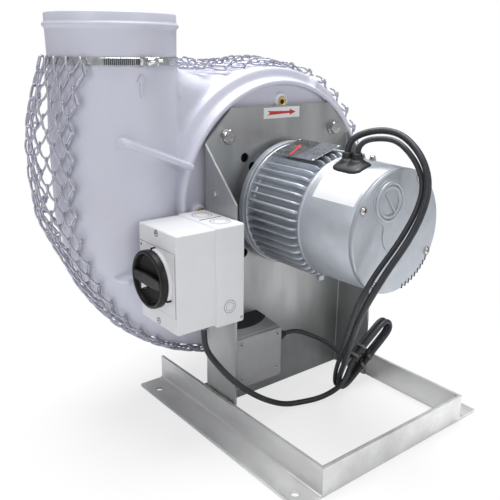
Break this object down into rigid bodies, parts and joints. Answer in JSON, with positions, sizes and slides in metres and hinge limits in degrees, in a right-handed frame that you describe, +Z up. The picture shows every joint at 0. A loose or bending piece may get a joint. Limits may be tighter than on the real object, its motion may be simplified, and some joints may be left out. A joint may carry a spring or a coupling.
{
  "type": "centrifugal fan",
  "caption": "Plastic centrifugal fan with a vertical round outlet, finned electronic motor, isolator box and wire guard on a steel pedestal",
  "frame": {"origin": "centre of the four floor-bolt holes, at floor level", "axes": "+Z up, the way the outlet blows; +Y along the fan axis towards the inlet; -Y towards the motor's end cap"},
  "size_m": [0.5181, 0.4897, 0.541],
  "materials": {
    "rail_steel": "galvanised grey, satin",
    "weld_steel": "blotchy weld",
    "zinc_sheet": "zinc-plated sheet, satin",
    "stainless": "bright",
    "sticker_foil": "white sticker, red arrow",
    "casing_plastic": "light grey moulded plastic, satin",
    "brass_insert": "turned brass",
    "clamp_steel": "bright strip",
    "mesh_wire": "galvanised wire",
    "cast_aluminium": "die-cast, fine matt",
    "nameplate_foil": "printed foil",
    "white_label": "white label",
    "black_rubber": "matt",
    "white_plastic": "satin",
    "black_plastic": "satin",
    "grey_plastic": "satin",
    "box_aluminium": "die-cast, fine",
    "cable_sheath": "charcoal sheath",
    "tie_plastic": "tie strap",
    "dark_plastic": "black plastic",
    "shaft_steel": "ground",
    "lamination_steel": "stacked laminations",
    "copper_winding": "enamelled copper",
    "circuit_board": "green board"
  },
  "bodies": {
    "frame": {"rail_left": "rail_steel", "rail_right": "rail_steel", "front_cross_member": "rail_steel", "weld_beads": "weld_steel", "pedestal_sheet": "zinc_sheet", "casing_bolts": "stainless", "casing_washers": "stainless", "direction_sticker": "sticker_foil", "volute_casing": "casing_plastic", "casing_inserts": "brass_insert", "clamp_band": "clamp_steel", "clamp_housing": "clamp_steel", "clamp_screw": "clamp_steel", "guard_mesh": "mesh_wire", "drive_end_shield": "cast_aluminium", "stator_housing": "cast_aluminium", "electronics_housing": "cast_aluminium", "end_cap": "cast_aluminium", "end_cap_screws": "stainless", "end_cap_plug": "cast_aluminium", "motor_nameplate": "nameplate_foil", "motor_label": "white_label", "cable_boot": "black_rubber", "boot_screws": "stainless", "switch_base": "white_plastic", "switch_lid": "white_plastic", "switch_lid_screws": "stainless", "switch_label_plate": "white_plastic", "switch_collar": "white_plastic", "switch_gland": "grey_plastic", "control_box": "box_aluminium", "control_box_lid": "box_aluminium", "control_box_screws": "stainless", "control_box_pad": "black_rubber", "control_box_gland": "black_rubber", "motor_power_cable": "cable_sheath", "motor_control_cable": "cable_sheath", "cable_hank": "cable_sheath", "cable_ties": "tie_plastic", "power_cable_lower": "cable_sheath", "control_cable_lower": "cable_sheath", "back_cover_disc": "dark_plastic", "shaft_seal": "black_rubber", "bearing_drive_end": "shaft_steel", "bearing_rear_end": "shaft_steel", "stator_core": "lamination_steel", "stator_windings": "copper_winding", "motor_bolts": "stainless", "control_electronics": "circuit_board", "inlet_cone": "casing_plastic", "inlet_screws": "stainless", "switch_contact_block": "grey_plastic"},
    "rotor": {"impeller": "dark_plastic", "impeller_hub": "cast_aluminium", "hub_nut": "stainless", "motor_shaft": "shaft_steel", "shaft_key": "shaft_steel", "rotor_core": "lamination_steel"},
    "knob": {"switch_knob": "black_plastic", "switch_spindle": "black_plastic"}
  },
  "joints": [
    {"name": "fan_spin", "type": "hinge", "parent": "frame", "child": "rotor", "pos_m": [0, 0.064, 0.2945], "axis": [0, 1, 0], "continuous": true},
    {"name": "isolator_turn", "type": "hinge", "parent": "frame", "child": "knob", "pos_m": [-0.238, 0.023, 0.238], "axis": [1, 0, 0], "range_deg": [0, 90]}
  ]
}
